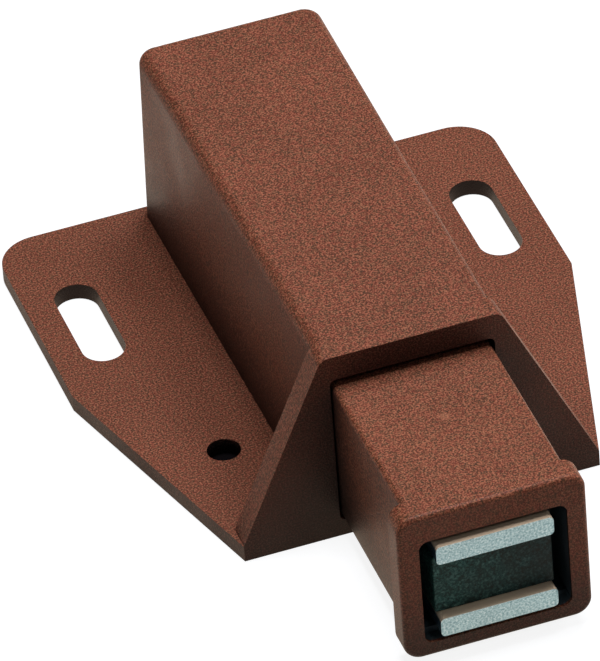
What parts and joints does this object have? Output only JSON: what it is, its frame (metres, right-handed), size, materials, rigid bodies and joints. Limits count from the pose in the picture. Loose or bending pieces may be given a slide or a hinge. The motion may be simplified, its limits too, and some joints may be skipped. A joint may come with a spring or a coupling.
{
  "type": "push to open catch",
  "caption": "Magnetic push-to-open catch: a sprung plunger with a magnet in its head slides in a flanged brown plastic housing.",
  "frame": {"origin": "on the mounting face, at the foot of the front plate, on the centre line", "axes": "+X across the catch, +Y to the rear (into the cupboard), +Z away from the mounting face; the plunger comes out towards -Y"},
  "size_m": [0.0496, 0.073, 0.0206],
  "materials": {
    "housing_plastic": "matt, fine grain",
    "plunger_plastic": "matt, fine grain",
    "cover_plastic": "matt",
    "pole_steel": "bright zinc plated",
    "ferrite": "rough sintered",
    "spring_steel": "bright drawn wire"
  },
  "bodies": {
    "housing": {"housing": "housing_plastic", "base_plate": "cover_plastic", "plunger_spring": "spring_steel", "follower_leaf": "spring_steel"},
    "plunger": {"plunger": "plunger_plastic", "magnet": "ferrite", "upper_pole_plate": "pole_steel", "lower_pole_plate": "pole_steel"},
    "follower": {"cam_follower": "spring_steel"}
  },
  "joints": [
    {"name": "plunger_slide", "type": "slide", "parent": "housing", "child": "plunger", "axis": [0, 1, 0], "range_m": [0, 0.0165], "stiffness_N_per_m": 120, "springref_m": -0.012, "deforming": ["plunger_spring"]},
    {"name": "follower_swing", "type": "hinge", "parent": "housing", "child": "follower", "pos_m": [0, 0.042, 0.0039], "axis": [0, 0, 1], "range_deg": [0, 9.42]}
  ],
  "couplings": [
    {"joint": "follower_swing", "follows": "plunger_slide", "rad_per_m": 9.962}
  ]
}
